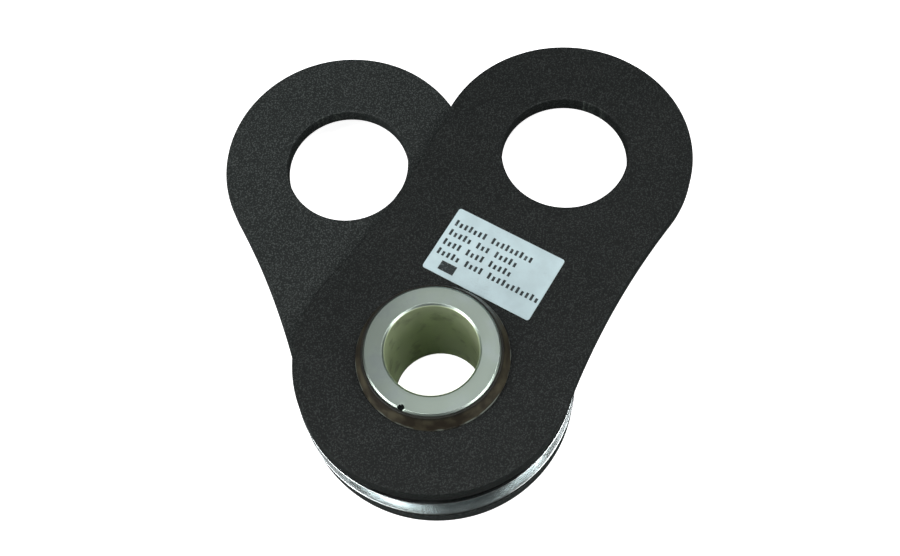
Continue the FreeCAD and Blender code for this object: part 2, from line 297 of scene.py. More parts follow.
class Outline:
    """A line drawn corner by corner.  Its arcs are spun from the last corner."""

    def __init__(self, bm, start):
        self.bm = bm
        self.first = bm.verts.new(start)
        self.last = self.first

    def line(self, point):
        """Go straight to a point."""
        vert = self.bm.verts.new(point)
        self.bm.edges.new((self.last, vert))
        self.last = vert

    def arc(self, centre, axis, angle, steps):
        """Go round a centre."""
        made = bmesh.ops.spin(
            self.bm, geom=[self.last], cent=centre, axis=axis, angle=angle, steps=steps
        )
        self.last = next(g for g in made["geom_last"] if isinstance(g, bmesh.types.BMVert))

    def close(self):
        """Join the ends, or weld them where an arc already came back to the start."""
        if (self.last.co - self.first.co).length > SAME_CORNER:
            self.bm.edges.new((self.last, self.first))
        else:
            bmesh.ops.pointmerge(self.bm, verts=[self.last, self.first], merge_co=self.first.co)


def round_off(bm, geometry, radius, segments, affect="EDGES"):
    """Round some edges or corners, and return the new faces."""
    made = bmesh.ops.bevel(
        bm,
        geom=geometry,
        offset=radius,
        offset_type="OFFSET",
        affect=affect,
        segments=segments,
        profile=0.5,
        material=-1,
    )
    return made["faces"]


def round_corners(bm, radius, segments=3):
    """Round every corner edge of a closed solid, and return the new faces."""
    corners = [e for e in bm.edges if len(e.link_faces) == 2 and e.calc_face_angle() > CORNER_ANGLE]
    return round_off(bm, corners, radius, segments)


def thicken(bm, thickness):
    """Raise flat faces into a closed slab."""
    raised = bmesh.ops.extrude_face_region(bm, geom=bm.faces[:])["geom"]
    tops = [g for g in raised if isinstance(g, bmesh.types.BMVert)]
    bmesh.ops.translate(bm, verts=tops, vec=(0, 0, thickness))
    bmesh.ops.recalc_face_normals(bm, faces=bm.faces[:])


def spin_solid(bm):
    """Turn a closed section in the XZ plane about Z."""
    bmesh.ops.spin(
        bm,
        geom=bm.verts[:] + bm.edges[:],
        cent=ORIGIN,
        axis=UP,
        angle=FULL_TURN,
        steps=TURNED_STEPS,
        use_merge=True,
    )
    bmesh.ops.remove_doubles(bm, verts=bm.verts[:], dist=WELD)
    bmesh.ops.recalc_face_normals(bm, faces=bm.faces[:])


def turned(section, corner_radius):
    """Solid of revolution from straight-sided corners of (radius, height)."""
    bm = bmesh.new()
    outline = Outline(bm, (section[0][0], 0, section[0][1]))
    for radius, height in section[1:]:
        outline.line((radius, 0, height))
    outline.close()
    spin_solid(bm)
    round_corners(bm, corner_radius)
    return bm


def drop_old(name):
    """Remove the object that an earlier run of an operator left."""
    old = bpy.data.objects.get(name)
    if old:
        bpy.data.objects.remove(old)


def finish_piece(bm, name, body, material, nodes=()):
    """Make a piece of a closed bmesh, on its body, in place of its CAD nodes."""
    bmesh.ops.recalc_face_normals(bm, faces=bm.faces[:])
    open_edges = [e for e in bm.edges if len(e.link_faces) != 2]
    if open_edges:
        raise RuntimeError(f"{name} is not closed: {len(open_edges)} open edges")
    if bm.calc_volume(signed=True) <= 0:
        raise RuntimeError(f"{name} is inside out")
    drop_old(name)
    mesh = bpy.data.meshes.new(name)
    bm.to_mesh(mesh)
    bm.free()
    mesh.shade_smooth()
    piece = bpy.data.objects.new(name, mesh)
    bpy.context.scene.collection.objects.link(piece)
    mesh.materials.append(material)
    shading = piece.modifiers.new("even_shading", "WEIGHTED_NORMAL")
    shading.weight = 100
    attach(piece, body)
    if nodes:
        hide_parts(*nodes)
    return piece


def plate_outline(bm, sizes):
    """Tail arc, left waist, head arc and right waist, all tangent."""
    waist = sizes.waist_radius
    tail = sizes.tail_radius
    head = sizes.head_radius
    centres = sizes.centres
    to_tail = waist + tail
    to_head = waist + head
    along = (to_tail ** 2 - to_head ** 2 + centres ** 2) / (2 * centres)
    across = math.sqrt(to_tail ** 2 - along ** 2)
    tail_angle = math.atan2(along, across)
    head_angle = math.atan2(along - centres, across)
    waist_turn = tail_angle - head_angle

    outline = Outline(bm, (tail * math.cos(tail_angle), tail * math.sin(tail_angle), 0))
    outline.arc(ORIGIN, UP, -(math.pi + 2 * tail_angle), ROUND_END_STEPS)
    outline.arc(Vector((-across, along, 0)), UP, waist_turn, WAIST_STEPS)
    outline.arc(Vector((0, centres, 0)), UP, -(math.pi - 2 * head_angle), ROUND_END_STEPS)
    outline.arc(Vector((across, along, 0)), UP, waist_turn, WAIST_STEPS)
    outline.close()


def plate_mesh(sizes):
    """Flat plate about its own middle, with its edge band marked for wear."""
    half = sizes.thickness / 2
    bm = bmesh.new()
    plate_outline(bm, sizes)
    for radius, along in ((sizes.bore_radius, 0), (sizes.eye_radius, sizes.centres)):
        bmesh.ops.create_circle(
            bm,
            cap_ends=False,
            segments=HOLE_STEPS,
            radius=radius,
            matrix=Matrix.Translation((0, along, 0)),
        )
    bmesh.ops.triangle_fill(bm, use_beauty=True, use_dissolve=False, edges=bm.edges[:], normal=UP)
    bmesh.ops.inset_region(
        bm, faces=bm.faces[:], thickness=sizes.edge_band, use_even_offset=True, use_boundary=True
    )
    thicken(bm, sizes.thickness)
    bmesh.ops.translate(bm, verts=bm.verts[:], vec=(0, 0, -half))

    edges = round_corners(bm, sizes.edge_radius, segments=4)
    worn = {vert for face in edges for vert in face.verts}
    for height in (half - sizes.edge_band, sizes.edge_band - half):
        bmesh.ops.bisect_plane(
            bm, geom=bm.verts[:] + bm.edges[:] + bm.faces[:], plane_co=(0, 0, height), plane_no=UP
        )
    layer = bm.verts.layers.float.new(EDGE_LAYER)
    for vert in bm.verts:
        vert[layer] = 1.0 if vert in worn else 0.0
    return bm


def sheave_mesh(sizes):
    """Grooved wheel, with rounded lips, from one closed section."""
    half = SHEAVE_CORNER.z
    rim = SHEAVE_CORNER.x
    middle = sizes.floor_radius + sizes.groove_radius
    groove = Vector((middle, 0, 0))
    foot_x = middle - sizes.groove_radius * math.sin(sizes.flare)
    foot_z = sizes.groove_radius * math.cos(sizes.flare)
    mouth_z = foot_z + (rim - foot_x) * math.tan(sizes.flare)

    bm = bmesh.new()
    outline = Outline(bm, (sizes.bore_radius, 0, -half))
    outline.line((sizes.bore_radius, 0, half))
    outline.line((rim, 0, half))
    outline.line((rim, 0, mouth_z))
    outline.line((foot_x, 0, foot_z))
    outline.arc(groove, Vector((0, -1, 0)), math.pi - 2 * sizes.flare, GROOVE_STEPS)
    outline.line((rim, 0, -mouth_z))
    outline.line((rim, 0, -half))
    outline.close()
    spin_solid(bm)
    lips = [
        edge
        for edge in bm.edges
        if edge.calc_face_angle() > LIP_ANGLE and edge.verts[0].co.xy.length > sizes.floor_radius
    ]
    round_off(bm, lips, sizes.lip_radius, segments=3)
    return bm


def axle_mesh(sizes):
    """Hollow axle, with a small dent in its upper rim."""
    half = AXLE_CORNER.z
    outer = AXLE_CORNER.x
    bore = sizes.bore_radius
    band = 2 * sizes.nick_width
    section = [
        (bore, -half + sizes.bore_chamfer),
        (bore + sizes.bore_chamfer, -half),
        (outer - sizes.rim_chamfer, -half),
        (outer, -half + sizes.rim_chamfer),
        (outer, half - sizes.rim_chamfer - band),
        (outer, half - sizes.rim_chamfer),
        (outer - sizes.rim_chamfer, half),
        (outer - sizes.rim_chamfer - band, half),
        (bore + sizes.bore_chamfer, half),
        (bore, half - sizes.bore_chamfer),
    ]
    bm = turned(section, sizes.corner_radius)
    spot = Matrix.Rotation(sizes.nick_place, 3, "Z") @ Vector((outer - sizes.rim_chamfer, 0, half))
    near = [v for v in bm.verts if (v.co - spot).length < band]
    near_faces = {f for v in near for f in v.link_faces}
    near_edges = {e for f in near_faces for e in f.edges if e.calc_length() > SPLIT_LENGTH}
    bmesh.ops.subdivide_edges(bm, edges=list(near_edges), cuts=5, use_grid_fill=True)
    inward = Vector((-spot.x, -spot.y, -outer)).normalized()
    layer = bm.verts.layers.float.new(DENT_LAYER)
    for vert in bm.verts:
        reach = (vert.co - spot).length / sizes.nick_width
        depth = max(0.0, 1 - reach ** 2) ** 2
        vert.co += inward * sizes.nick_depth * depth
        vert[layer] = depth
    return bm


def mirror_to_side(bm, side):
    """Turn an upper piece over for the lower side."""
    if side < 0:
        bmesh.ops.rotate(bm, verts=bm.verts[:], cent=ORIGIN, matrix=Matrix.Rotation(math.pi, 3, "Y"))


def collar_mesh(sizes, side):
    """Coned retaining collar."""
    foot = COLLAR_BOX[1].x
    start = COLLAR_BOX[0].z
    end = COLLAR_BOX[1].z
    section = [
        (AXLE_CORNER.x, start),
        (foot, start),
        (foot, start + sizes.collar_land),
        (sizes.collar_top_radius, end),
        (AXLE_CORNER.x, end),
    ]
    bm = turned(section, sizes.corner_radius)
    mirror_to_side(bm, side)
    return bm


def washer_mesh(sizes, side):
    """Flat thrust washer."""
    low = WASHER_BOX[0].z
    high = WASHER_BOX[1].z
    outer = WASHER_BOX[1].x
    inner = sizes.washer_bore_radius
    bm = turned([(inner, low), (outer, low), (outer, high), (inner, high)], sizes.corner_radius)
    mirror_to_side(bm, side)
    return bm


def label_place(plate_sizes, label_sizes):
    """Middle of the label's underside, on the upper plate."""
    return plate_matrix(1) @ Matrix.Translation((0, label_sizes.centre, plate_sizes.thickness / 2))


def label_mesh(sizes):
    """Thin rectangle with rounded corners, lying on z = 0."""
    bm = bmesh.new()
    flat = Matrix.Diagonal((sizes.width / 2, sizes.height / 2, 1, 1))
    bmesh.ops.create_grid(bm, x_segments=1, y_segments=1, size=1, matrix=flat)
    round_off(bm, bm.verts[:], sizes.corner_radius, segments=6, affect="VERTICES")
    thicken(bm, sizes.thickness)
    return bm


# how many blocks are in each group of each printed row
PRINT_ROWS = ((7, 9), (5, 3, 5), (4, 4, 5), (5, 4, 11))
# heights of the blocks in turn, so that a row has an uneven edge
MARK_SHARES = (1.0, 0.72, 0.86)
# in pitches of the blocks
LEFT_MARGIN = 1.15
GROUP_GAP = 0.9
# in pitches of the rows
FIRST_ROW_DROP = 1.66
BADGE_LIFT = 0.2
# the larger block, in pitches across and in heights of the small ones
BADGE_PLACE = 3.2
BADGE_WIDTH = 3.2
BADGE_HEIGHT = 1.45


def print_mesh(sizes):
    """Rows of plain blocks that stand in for printed lines, and one larger block below."""
    bm = bmesh.new()
    left = -sizes.width / 2 + LEFT_MARGIN * sizes.mark_pitch
    top = sizes.height / 2 - FIRST_ROW_DROP * sizes.row_pitch

    def block(x, y, width, height):
        """One printed block about its middle."""
        place = Matrix.Translation((x, y, sizes.thickness + sizes.ink / 2))
        shape = Matrix.Diagonal((width, height, sizes.ink, 1))
        bmesh.ops.create_cube(bm, size=1, matrix=place @ shape)

    for row, groups in enumerate(PRINT_ROWS):
        x = left
        base = top - row * sizes.row_pitch
        for group in groups:
            for index in range(group):
                tall = sizes.mark_height * MARK_SHARES[index % len(MARK_SHARES)]
                block(x, base + tall / 2, sizes.mark_width, tall)
                x += sizes.mark_pitch
            x += GROUP_GAP * sizes.mark_pitch
    block(
        left + BADGE_PLACE * sizes.mark_pitch,
        top - (len(PRINT_ROWS) - BADGE_LIFT) * sizes.row_pitch,
        BADGE_WIDTH * sizes.mark_pitch,
        BADGE_HEIGHT * sizes.mark_height,
    )
    return bm


# ---------------------------------------------------------------- materials


class Sheet:
    """Adds and wires nodes in one node tree."""

    def __init__(self, tree):
        self.tree = tree

    def node(self, kind, **settings):
        """Add a node."""
        made = self.tree.nodes.new(kind)
        for name, value in settings.items():
            setattr(made, name, value)
        return made

    def feed(self, socket, value):
        """Link another socket to this one, or set its value."""
        if isinstance(value, bpy.types.NodeSocket):
            self.tree.links.new(value, socket)
        else:
            socket.default_value = value

    def math(self, operation, *values, clamp=False):
        """One step of arithmetic."""
        made = self.node("ShaderNodeMath", operation=operation, use_clamp=clamp)
        for socket, value in zip(made.inputs, values):
            self.feed(socket, value)
        return made.outputs[0]

    def times(self, first, *others, clamp=False):
        """Product of all the values."""
        for value in others:
            first = self.math("MULTIPLY", first, value, clamp=clamp)
        return first

    def plus(self, first, *others):
        """Sum of all the values."""
        for value in others:
            first = self.math("ADD", first, value)
        return first

    def spread(self, value, low, high, to_low=0.0, to_high=1.0):
        """Smooth step from low to high."""
        made = self.node("ShaderNodeMapRange", interpolation_type="SMOOTHSTEP")
        for socket, item in zip(made.inputs, (value, low, high, to_low, to_high)):
            self.feed(socket, item)
        return made.outputs[0]

    def fade(self, mask, at_zero, at_one):
        """Value that goes with a mask from one end to the other."""
        return self.spread(mask, 0.0, 1.0, at_zero, at_one)

    def mix(self, factor, first, second):
        """Mix two colours."""
        made = self.node("ShaderNodeMix", data_type="RGBA")
        self.feed(made.inputs[0], factor)
        for socket, value in ((made.inputs[6], first), (made.inputs[7], second)):
            self.feed(socket, value if isinstance(value, bpy.types.NodeSocket) else (*value, 1))
        return made.outputs[2]

    def noise(self, vector, feature, detail=3.0):
        """Soft noise with features of that size in metres."""
        made = self.node("ShaderNodeTexNoise")
        self.feed(made.inputs["Vector"], vector)
        linked = isinstance(feature, bpy.types.NodeSocket)
        self.feed(made.inputs["Scale"], self.math("DIVIDE", 1.0, feature) if linked else 1 / feature)
        made.inputs["Detail"].default_value = detail
        return made.outputs[0]

    def split(self, vector):
        """X, Y and Z of a vector."""
        made = self.node("ShaderNodeSeparateXYZ")
        self.feed(made.inputs[0], vector)
        return made.outputs

    def join(self, x, y, z):
        """Vector from X, Y and Z."""
        made = self.node("ShaderNodeCombineXYZ")
        for socket, value in zip(made.inputs, (x, y, z)):
            self.feed(socket, value)
        return made.outputs[0]

    def radius(self, vector):
        """Distance from the Z axis."""
        x, y, _ = self.split(vector)
        return self.math("SQRT", self.plus(self.times(x, x), self.times(y, y)))

    def group(self, tree, **inputs):
        """Use a shared group."""
        made = self.node("ShaderNodeGroup", node_tree=tree)
        for name, value in inputs.items():
            self.feed(made.inputs[name], value)
        return made.outputs


def make_group(name, inputs, outputs):
    """Empty shared group with named sockets, as (tree, sheet, input sockets, output sockets)."""
    tree = bpy.data.node_groups.new(name, "ShaderNodeTree")
    for label, kind in inputs:
        tree.interface.new_socket(label, in_out="INPUT", socket_type=kind)
    for label, kind in outputs:
        tree.interface.new_socket(label, in_out="OUTPUT", socket_type=kind)
    sheet = Sheet(tree)
    return tree, sheet, sheet.node("NodeGroupInput").outputs, sheet.node("NodeGroupOutput").inputs


def surface_grain():
    """Pebbled grain: rounded cells broken up by finer noise."""
    found = bpy.data.node_groups.get("surface_grain")
    if found:
        return found
    tree, sheet, given, wanted = make_group(
        "surface_grain",
        [("Vector", "NodeSocketVector"), ("Feature", "NodeSocketFloat")],
        [("Height", "NodeSocketFloat"), ("Mask", "NodeSocketFloat")],
    )
    cells = sheet.node("ShaderNodeTexVoronoi", feature="SMOOTH_F1")
    sheet.feed(cells.inputs["Vector"], given["Vector"])
    sheet.feed(cells.inputs["Scale"], sheet.math("DIVIDE", 1.0, given["Feature"]))
    fine = sheet.noise(given["Vector"], sheet.times(given["Feature"], 0.7), detail=4)
    pebble = sheet.spread(cells.outputs["Distance"], 0.0, 0.75, 1.0, 0.0)
    height = sheet.plus(sheet.times(pebble, 0.55), sheet.times(fine, 0.45))
    sheet.feed(wanted["Height"], height)
    sheet.feed(wanted["Mask"], sheet.spread(height, 0.42, 0.72))
    return tree


def turning_marks():
    """Rings about Z left by a lathe tool, on flat and on upright faces."""
    found = bpy.data.node_groups.get("turning_marks")
    if found:
        return found
    tree, sheet, given, wanted = make_group(
        "turning_marks",
        [("Vector", "NodeSocketVector"), ("Pitch", "NodeSocketFloat")],
        [("Height", "NodeSocketFloat"), ("Mask", "NodeSocketFloat")],
    )
    _, _, z = sheet.split(given["Vector"])
    line = sheet.join(sheet.radius(given["Vector"]), z, 0.0)
    fine = sheet.noise(line, given["Pitch"], detail=2)
    broad = sheet.noise(line, sheet.times(given["Pitch"], 5.0), detail=1)
    height = sheet.plus(sheet.times(fine, 0.7), sheet.times(broad, 0.3))
    sheet.feed(wanted["Height"], height)
    sheet.feed(wanted["Mask"], sheet.spread(height, 0.35, 0.65))
    return tree


def edge_wear():
    """Broken-up wear where the edge value is high."""
    found = bpy.data.node_groups.get("edge_wear")
    if found:
        return found
    tree, sheet, given, wanted = make_group(
        "edge_wear",
        [
            ("Edge", "NodeSocketFloat"),
            ("Vector", "NodeSocketVector"),
            ("Amount", "NodeSocketFloat"),
        ],
        [("Mask", "NodeSocketFloat")],
    )
    patches = sheet.noise(given["Vector"], 9 * MM, detail=4)
    worn = sheet.times(sheet.spread(given["Edge"], 0.35, 1.0), sheet.spread(patches, 0.35, 0.65))
    sheet.feed(wanted["Mask"], sheet.times(worn, given["Amount"], clamp=True))
    return tree


def settled_dust():
    """Thin dust on faces that look along Z, in uneven patches."""
    found = bpy.data.node_groups.get("settled_dust")
    if found:
        return found
    tree, sheet, given, wanted = make_group(
        "settled_dust",
        [
            ("Vector", "NodeSocketVector"),
            ("Normal", "NodeSocketVector"),
            ("Amount", "NodeSocketFloat"),
        ],
        [("Mask", "NodeSocketFloat")],
    )
    _, _, up = sheet.split(given["Normal"])
    facing = sheet.spread(up, 0.5, 1.0)
    patches = sheet.spread(sheet.noise(given["Vector"], 28 * MM, detail=5), 0.4, 0.75)
    specks = sheet.spread(sheet.noise(given["Vector"], 1.1 * MM, detail=3), 0.5, 0.7)
    mask = sheet.times(facing, patches, specks)
    sheet.feed(wanted["Mask"], sheet.times(mask, given["Amount"], clamp=True))
    return tree


def new_material(name):
    """Fresh material, its sheet, its shader's inputs, Object coordinates and object-space normal."""
    old = bpy.data.materials.get(name)
    if old:
        bpy.data.materials.remove(old)
    material = bpy.data.materials.new(name)
    material.use_nodes = True
    sheet = Sheet(material.node_tree)
    inputs = material.node_tree.nodes["Principled BSDF"].inputs
    coordinates = sheet.node("ShaderNodeTexCoord").outputs
    return material, sheet, inputs, coordinates["Object"], coordinates["Normal"]


def raise_surface(sheet, inputs, height, depth):
    """Bump whose full height is depth, in metres."""
    bump = sheet.node("ShaderNodeBump")
    bump.inputs["Strength"].default_value = 1.0
    bump.inputs["Distance"].default_value = depth
    sheet.feed(bump.inputs["Height"], height)
    sheet.feed(inputs["Normal"], bump.outputs["Normal"])


def lathe_marks(sheet, inputs, place, pitch, depth):
    """Raise turning marks, and return their mask."""
    marks = sheet.group(turning_marks(), Vector=place, Pitch=pitch)
    raise_surface(sheet, inputs, marks["Height"], depth)
    return marks["Mask"]


def eye_scrapes(sheet, place, sizes, side):
    """Faint smears on the eye's wall, where a shackle would bear."""
    mapping = sheet.node("ShaderNodeMapping", vector_type="POINT")
    inverse = (plate_matrix(side) @ Matrix.Translation((0, sizes.centres, 0))).inverted()
    mapping.inputs["Location"].default_value = inverse.translation
    mapping.inputs["Rotation"].default_value = inverse.to_euler("XYZ")
    sheet.feed(mapping.inputs["Vector"], place)
    local = mapping.outputs[0]
    x, y, _ = sheet.split(local)
    eye = sizes.eye_radius
    wall = sheet.spread(sheet.radius(local), eye + 0.25 * MM, eye + 0.7 * MM, 1.0, 0.0)
    far = sheet.spread(y, 0.8 * eye, 0.9 * eye)
    span = sheet.spread(sheet.math("ABSOLUTE", x), 5 * MM, 8 * MM, 1.0, 0.0)
    streaks = sheet.spread(sheet.noise(sheet.join(x, 0.0, 0.0), 5.5 * MM, detail=3), 0.47, 0.66)
    ragged = sheet.spread(sheet.noise(local, 2.2 * MM, detail=4), 0.38, 0.55)
    return sheet.times(wall, far, span, streaks, ragged, EYE_SMEAR)


def powder_coat(name, colours, sizes, side):
    """Textured black powder coat of one plate."""
    material, sheet, inputs, place, normal = new_material(name)
    grain = sheet.group(surface_grain(), Vector=place, Feature=GRAIN_SIZE)
    edge = sheet.node("ShaderNodeAttribute", attribute_name=EDGE_LAYER).outputs["Fac"]
    wear = sheet.group(edge_wear(), Edge=edge, Vector=place, Amount=EDGE_WEAR)["Mask"]
    dust = sheet.group(settled_dust(), Vector=place, Normal=normal, Amount=COAT_DUST)["Mask"]
    bare = eye_scrapes(sheet, place, sizes, side)

    # painted light: the lower plate gets a paler copy of the same coat
    painted_light_gain = 1.0 if side > 0 else LOWER_PAINTED_LIGHT
    coat = tuple(painted_light_gain * value for value in colours.coat)
    coat_glint_and_wear = tuple(painted_light_gain * value for value in colours.coat_glint_and_wear)
    # painted highlight: the grain's raised tops are painted paler, as glints
    tint = sheet.mix(sheet.times(grain["Mask"], 0.75), coat, coat_glint_and_wear)
    tint = sheet.mix(wear, tint, coat_glint_and_wear)
    tint = sheet.mix(dust, tint, colours.dust)
    sheet.feed(inputs["Base Color"], sheet.mix(bare, tint, colours.steel))
    sheet.feed(inputs["Metallic"], bare)
    patches = sheet.noise(place, 20 * MM, detail=3)
    rough = sheet.spread(patches, 0.3, 0.7, 0.50, 0.60)
    sheet.feed(inputs["Roughness"], sheet.math("SUBTRACT", rough, sheet.times(wear, 0.15)))
    inputs["Specular IOR Level"].default_value = COAT_SPECULAR
    raise_surface(sheet, inputs, grain["Height"], GRAIN_DEPTH)
    return material


def faced_steel(colours, sizes):
    """Bright end faces and chamfers with painted shade darker towards -X, and an olive bore whose
    paler colour is painted light, with dark smudges.
    """
    material, sheet, inputs, place, _ = new_material("machined_steel")
    marks = lathe_marks(sheet, inputs, place, pitch=0.5 * MM, depth=0.003 * MM)
    radius = sheet.radius(place)
    bore = sizes.bore_radius
    in_bore = sheet.spread(radius, bore + 0.1 * MM, bore + 0.4 * MM, 1.0, 0.0)
    stain = sheet.spread(sheet.noise(place, 14 * MM, detail=5), 0.45, 0.75)
    face = sheet.mix(sheet.times(stain, 0.55), colours.steel, colours.zinc_dark)
    dent = sheet.node("ShaderNodeAttribute", attribute_name=DENT_LAYER).outputs["Fac"]
    ragged = sheet.times(dent, sheet.spread(sheet.noise(place, 1.1 * MM), 0.22, 0.42))
    # darker inside the dent
    dent_darkening = sheet.spread(ragged, 0.02, 0.14)
    smudge = sheet.spread(sheet.noise(place, 11 * MM, detail=5), 0.52, 0.68)
    smudge = sheet.times(smudge, in_bore, BORE_SMUDGE)
    x, _, _ = sheet.split(place)
    # painted shade: the faces are darkened towards -X
    side_shade = sheet.spread(x, -0.9 * AXLE_CORNER.x, 0.0, PAINTED_SIDE_SHADE, 0.0)
    side_shade = sheet.times(side_shade, sheet.fade(stain, 0.8, 1.0))
    face = sheet.mix(side_shade, face, colours.coat)
    # painted light: the bore gets the paler olive colour
    tint = sheet.mix(in_bore, face, colours.bore)
    tint = sheet.mix(smudge, tint, colours.oxide_dark)
    sheet.feed(inputs["Base Color"], sheet.mix(dent_darkening, tint, colours.coat))
    sheet.feed(inputs["Metallic"], sheet.fade(in_bore, 1.0, 0.9))
    rough = sheet.fade(marks, 0.32, 0.38)
    rough = sheet.plus(
        rough, sheet.times(stain, 0.10), sheet.times(in_bore, 0.2), sheet.times(dent_darkening, 0.3)
    )
    sheet.feed(inputs["Roughness"], rough)
    return material


def brown_oxide(colours, sizes):
    """Dark brown collar, mottled and lightly oiled, with painted shade in the crease at its top and a
    painted highlight along its foot.
    """
    material, sheet, inputs, place, _ = new_material("oxide_steel")
    lathe_marks(sheet, inputs, place, pitch=0.7 * MM, depth=0.02 * MM)
    mottle = sheet.spread(sheet.noise(place, 7 * MM, detail=6), 0.35, 0.68)
    radius = sheet.radius(place)
    top = sizes.collar_top_radius
    # painted shade: darkened in the crease at the collar's top, under the axle's rim
    crease_shade = sheet.spread(radius, top - 0.2 * MM, top + 1.0 * MM, 1.0, 0.0)
    foot = COLLAR_BOX[1].x
    # painted highlight: a paler broken ring along the foot's edge
    worn = sheet.spread(radius, foot - 0.35 * MM, foot - 0.1 * MM)
    worn = sheet.times(worn, sheet.spread(sheet.noise(place, 9 * MM, detail=3), 0.42, 0.62))
    tint = sheet.mix(mottle, colours.oxide_dark, colours.oxide)
    tint = sheet.mix(sheet.times(crease_shade, 0.8), tint, colours.coat)
    sheet.feed(inputs["Base Color"], sheet.mix(sheet.times(worn, 0.5), tint, colours.steel))
    sheet.feed(inputs["Metallic"], sheet.fade(mottle, 0.35, 0.6))
    sheet.feed(inputs["Roughness"], sheet.fade(mottle, 0.36, 0.52))
    return material


def bright_zinc(colours):
    """Zinc-plated sheave with fine turning marks and duller patches."""
    material, sheet, inputs, place, _ = new_material("zinc_plate")
    lathe_marks(sheet, inputs, place, pitch=0.6 * MM, depth=0.001 * MM)
    patches = sheet.spread(sheet.noise(place, 16 * MM, detail=4), 0.4, 0.7)
    tint = sheet.mix(sheet.times(patches, 0.5), colours.zinc, colours.zinc_dark)
    sheet.feed(inputs["Base Color"], tint)
    inputs["Metallic"].default_value = 1.0
    sheet.feed(inputs["Roughness"], sheet.fade(patches, 0.15, 0.22))
    return material


def turned_bronze(colours):
    """Plain bearing bronze with turning marks."""
    material, sheet, inputs, place, _ = new_material("bronze")
    lathe_marks(sheet, inputs, place, pitch=0.5 * MM, depth=0.008 * MM)
    tarnish = sheet.spread(sheet.noise(place, 8 * MM, detail=5), 0.4, 0.75)
    tint = sheet.mix(sheet.times(tarnish, 0.6), colours.bronze, colours.oxide)
    sheet.feed(inputs["Base Color"], tint)
    inputs["Metallic"].default_value = 1.0
    sheet.feed(inputs["Roughness"], sheet.fade(tarnish, 0.28, 0.45))
    return material


def label_film(colours):
    """Pale satin film with faint cloudiness."""
    material, sheet, inputs, place, normal = new_material("label_film")
    cloud = sheet.noise(place, 12 * MM, detail=4)
    dust = sheet.group(settled_dust(), Vector=place, Normal=normal, Amount=FILM_DUST)["Mask"]
    darker = tuple(0.88 * value for value in colours.film)
    tint = sheet.mix(sheet.spread(cloud, 0.35, 0.7), colours.film, darker)
    sheet.feed(inputs["Base Color"], sheet.mix(dust, tint, colours.dust))
    sheet.feed(inputs["Roughness"], sheet.spread(cloud, 0.3, 0.7, 0.48, 0.58))
    inputs["Specular IOR Level"].default_value = FILM_SPECULAR
    raise_surface(sheet, inputs, sheet.noise(place, 5 * MM, detail=2), 0.03 * MM)
    return material


def label_ink(colours):
    """Dark print, thinner in places."""
    material, sheet, inputs, place, _ = new_material("label_ink")
    thin = sheet.spread(sheet.noise(place, 0.9 * MM, detail=3), 0.5, 0.8)
    sheet.feed(inputs["Base Color"], sheet.mix(sheet.times(thin, 0.25), colours.ink, colours.film))
    sheet.feed(inputs["Roughness"], sheet.fade(thin, 0.45, 0.6))
    return material


def pale_floor(colours):
    """Plain matt floor, pale to the camera and dim in reflections."""
    material, sheet, inputs, _, _ = new_material("pale_floor")
    seen = sheet.node("ShaderNodeLightPath").outputs["Is Camera Ray"]
    sheet.feed(inputs["Base Color"], sheet.mix(seen, colours.bench, colours.floor))
    inputs["Roughness"].default_value = 0.9
    inputs["Emission Color"].default_value = (1, 1, 1, 1)
    sheet.feed(inputs["Emission Strength"], sheet.times(seen, FLOOR_GLOW))
    return material


# ---------------------------------------------------------------- operators


class MakePlates(bpy.types.Operator):
    """Make both side plates"""

    bl_idname = "sheave_block.plates"
    bl_label = "Side plates"

    def execute(self, context):
        settings = context.scene.sheave_block
        for side, name in ((1, "upper"), (-1, "lower")):
            node = f"{name}_side_plate"
            material = powder_coat(f"powder_coat_{name}", settings.colours, settings.plate, side)
            bm = plate_mesh(settings.plate)
            bmesh.ops.transform(bm, matrix=plate_matrix(side), verts=bm.verts[:])
            finish_piece(
                bm, f"{name}_plate_coated", body_of_node(node), material, [node]
            )
        return {"FINISHED"}


class MakeAxle(bpy.types.Operator):
    """Make the hollow axle"""

    bl_idname = "sheave_block.axle"
    bl_label = "Hollow axle"

    def execute(self, context):
        settings = context.scene.sheave_block
        material = faced_steel(settings.colours, settings.turned)
        finish_piece(
            axle_mesh(settings.turned),
            "axle_faced",
            body_of_node("hollow_axle"),
            material,
            ["hollow_axle"],
        )
        return {"FINISHED"}


class MakeCollars(bpy.types.Operator):
    """Make both retaining collars"""

    bl_idname = "sheave_block.collars"
    bl_label = "Retaining collars"

    def execute(self, context):
        settings = context.scene.sheave_block
        material = brown_oxide(settings.colours, settings.turned)
        for side, name in ((1, "upper"), (-1, "lower")):
            node = f"{name}_retaining_collar"
            bm = collar_mesh(settings.turned, side)
            finish_piece(
                bm, f"{name}_collar_coned", body_of_node(node), material, [node]
            )
        return {"FINISHED"}


class MakeSheave(bpy.types.Operator):
    """Make the grooved sheave"""

    bl_idname = "sheave_block.sheave"
    bl_label = "Sheave"

    def execute(self, context):
        settings = context.scene.sheave_block
        finish_piece(
            sheave_mesh(settings.sheave),
            "sheave_plated",
            body_of_node("sheave"),
            bright_zinc(settings.colours),
            ["sheave"],
        )
        return {"FINISHED"}


class MakeBearings(bpy.types.Operator):
    """Make the thrust washers and finish the sheave's bush"""

    bl_idname = "sheave_block.bearings"
    bl_label = "Washers and bush"

    def execute(self, context):
        settings = context.scene.sheave_block
        material = turned_bronze(settings.colours)
        for side, name in ((1, "upper"), (-1, "lower")):
            node = f"{name}_thrust_washer"
            bm = washer_mesh(settings.turned, side)
            finish_piece(bm, f"{name}_washer_turned", body_of_node(node), material, [node])
        bush = frame["nodes"]["sheave_bush"]
        bush.data.materials.clear()
        bush.data.materials.append(material)
        return {"FINISHED"}


